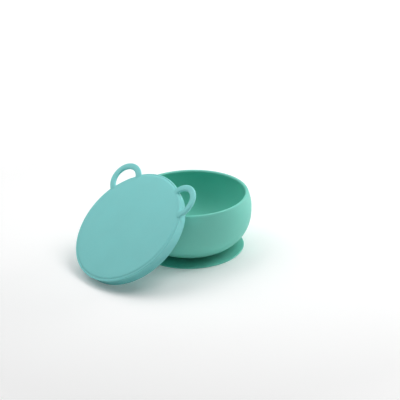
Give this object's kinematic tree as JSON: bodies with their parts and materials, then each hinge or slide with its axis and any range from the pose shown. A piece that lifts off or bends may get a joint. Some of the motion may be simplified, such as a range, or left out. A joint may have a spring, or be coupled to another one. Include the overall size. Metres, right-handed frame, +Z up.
{
  "type": "suction bowl",
  "caption": "Round-bellied soft silicone bowl on a flat suction foot, with its round lid, which has ear-shaped finger loops, taken off and leaning on the rim.",
  "frame": {"origin": "on the bowl's axis, in the plane of the table that the suction foot stands on", "axes": "+Z up along the bowl's axis; the lid leans on the rim from -X, so its ears point towards +X and up"},
  "size_m": [0.1884, 0.1254, 0.0887],
  "materials": {
    "bowl_silicone": "matte, silky silicone",
    "lid_silicone": "matte, silky silicone"
  },
  "bodies": {
    "foot": {"suction_cup": "bowl_silicone"},
    "bowl": {"bowl_shell": "bowl_silicone", "stem": "bowl_silicone"},
    "lid": {"lid_face": "lid_silicone", "lid_skirt": "lid_silicone"},
    "left_ear": {"ear_left": "lid_silicone"},
    "right_ear": {"ear_right": "lid_silicone"}
  },
  "joints": [
    {"name": "suction_press", "type": "slide", "parent": "foot", "child": "bowl", "axis": [0, 0, 1], "range_m": [-0.0018, 0], "stiffness_N_per_m": 5000, "springref_m": 0.0004, "deforming": ["suction_cup"]},
    {"name": "lid_tip", "type": "hinge", "parent": "foot", "child": "lid", "pos_m": [-0.12044, 0, 0.00595], "axis": [0, -1, 0], "range_deg": [0, 138]},
    {"name": "ear_left_flex", "type": "hinge", "parent": "lid", "child": "left_ear", "pos_m": [-0.0458, 0.04511, 0.0736], "axis": [-0.5667, 0.6833, -0.4604], "range_deg": [-45, 45], "stiffness_Nm_per_rad": 0.02},
    {"name": "ear_right_flex", "type": "hinge", "parent": "lid", "child": "right_ear", "pos_m": [-0.04288, -0.04126, 0.07598], "axis": [0.5184, 0.7443, 0.4211], "range_deg": [-45, 45], "stiffness_Nm_per_rad": 0.02}
  ]
}
